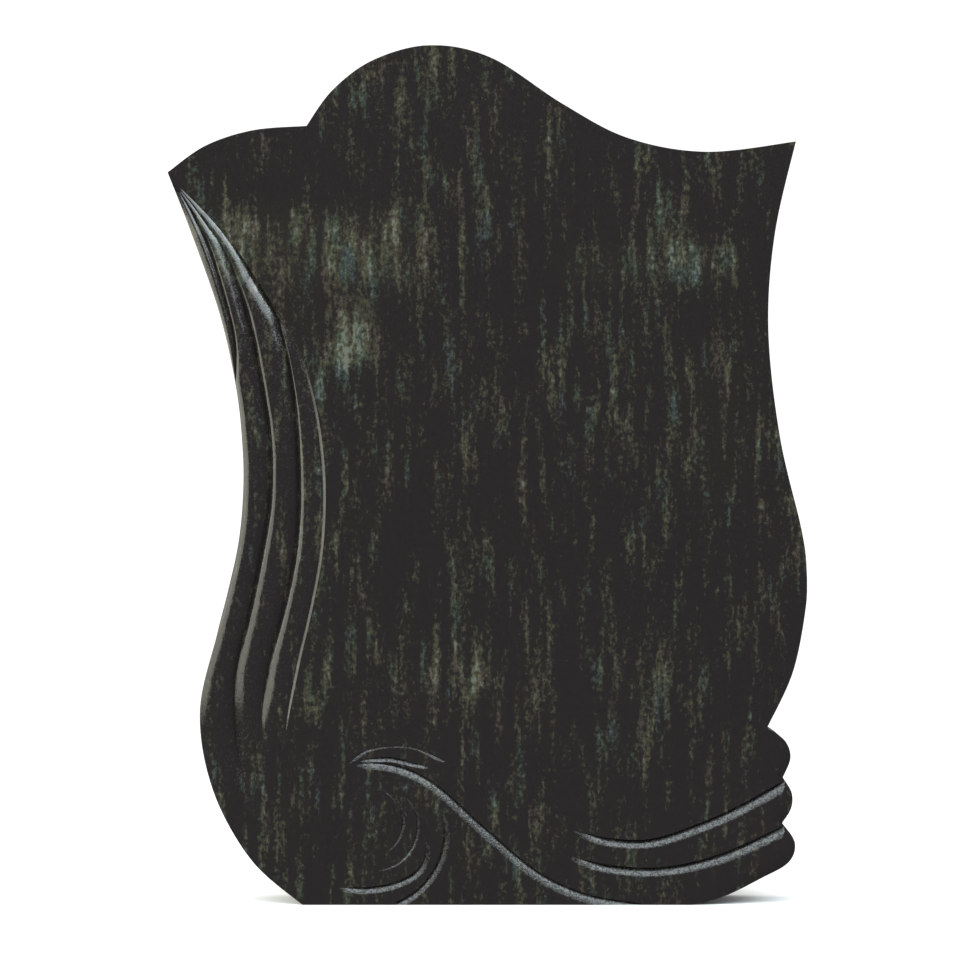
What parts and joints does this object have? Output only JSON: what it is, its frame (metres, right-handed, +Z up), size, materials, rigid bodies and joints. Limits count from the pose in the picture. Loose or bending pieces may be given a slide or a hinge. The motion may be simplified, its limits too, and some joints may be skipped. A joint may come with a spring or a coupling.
{
  "type": "headstone",
  "caption": "Upright slab of polished dark granite with a free curved outline, flutes down its left side and a carved scroll and wave across its foot.",
  "frame": {"origin": "centre of the outline's bounding box on the plane of the underside, at half the thickness", "axes": "+Z up the height of the slab, the carved face towards -Y, the plain back towards +Y, +X to the right as seen from the front"},
  "size_m": [0.6397, 0.1, 0.8599],
  "materials": {
    "granite": "polished"
  },
  "bodies": {
    "root": {"headstone": "granite"}
  },
  "joints": []
}
